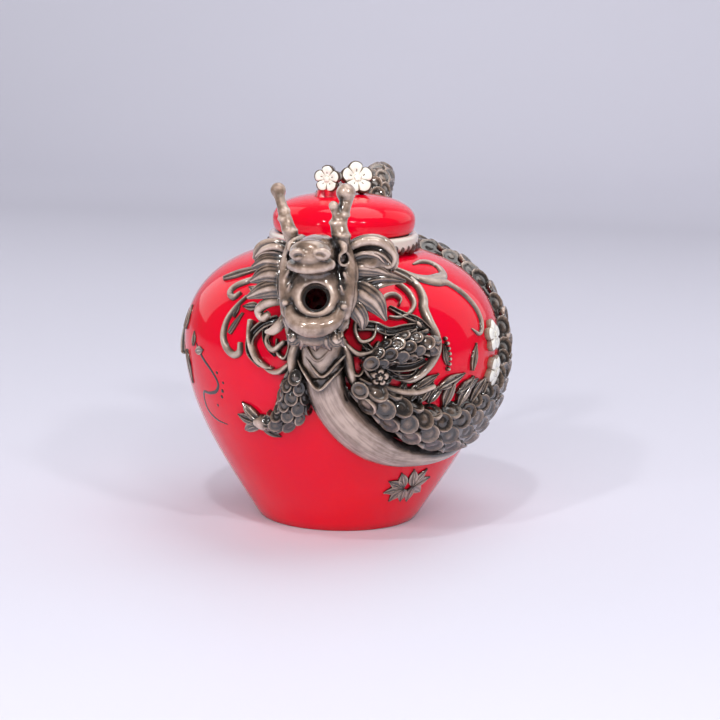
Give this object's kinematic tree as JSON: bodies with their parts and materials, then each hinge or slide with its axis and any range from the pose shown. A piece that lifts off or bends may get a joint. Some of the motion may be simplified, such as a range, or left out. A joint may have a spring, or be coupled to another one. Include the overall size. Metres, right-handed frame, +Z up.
{
  "type": "spouted ginger jar",
  "caption": "Lidded glazed ceramic jar with a relief dragon coiled round it, whose mouth is the pouring spout and whose tail is the handle, under a domed lid.",
  "frame": {"origin": "centre of the flat foot, on the axis of the jar and on the surface it stands on", "axes": "+Z up along the jar's axis; -Y out towards the dragon's head and spout; +Y towards the tail handle; +X to the right of someone who faces the head"},
  "size_m": [0.1534, 0.2079, 0.1623],
  "materials": {
    "red_glaze": "deep glossy red glaze",
    "cream_glaze": "glossy cream glaze",
    "dark_glaze": "glossy dark brown glaze",
    "silver_lustre": "taupe metallic lustre glaze, dark in the recesses"
  },
  "bodies": {
    "jar": {"jar_body": "red_glaze", "neck_collar": "cream_glaze", "collar_fringe": "dark_glaze", "spout_tube": "silver_lustre", "dragon_head": "silver_lustre", "lower_jaw": "silver_lustre", "nose_pad": "silver_lustre", "left_horn": "silver_lustre", "right_horn": "silver_lustre", "left_ear": "silver_lustre", "right_ear": "silver_lustre", "left_eye": "dark_glaze", "right_eye": "dark_glaze", "left_mane": "silver_lustre", "right_mane": "silver_lustre", "beard": "silver_lustre", "left_whisker": "silver_lustre", "right_whisker": "silver_lustre", "dragon_neck": "silver_lustre", "belly_plate": "silver_lustre", "back_scales": "silver_lustre", "flank_body": "silver_lustre", "shoulder_body": "silver_lustre", "tail_handle": "silver_lustre", "tail_tuft": "silver_lustre", "dorsal_fins": "silver_lustre", "left_foreleg": "silver_lustre", "left_forepaw": "silver_lustre", "right_foreleg": "silver_lustre", "right_forepaw": "silver_lustre", "right_hind_leg": "silver_lustre", "right_hind_paw": "silver_lustre", "left_hind_leg": "silver_lustre", "left_hind_paw": "silver_lustre", "vine_upper": "silver_lustre", "vine_main": "silver_lustre", "scrolls_left": "silver_lustre", "bead_chain": "silver_lustre", "leaves_right": "silver_lustre", "plum_blossoms": "cream_glaze", "silver_blossom": "silver_lustre", "sprig_left": "silver_lustre", "leaf_cluster": "silver_lustre", "branch_back": "silver_lustre"},
    "lid": {"lid_dome": "red_glaze", "lid_flange": "cream_glaze", "finial_stub": "red_glaze", "finial_blossom_left": "cream_glaze", "finial_blossom_right": "cream_glaze"}
  },
  "joints": [
    {"name": "lid_lift", "type": "slide", "parent": "jar", "child": "lid", "axis": [0, 0, 1], "range_m": [0, 0.08]}
  ]
}
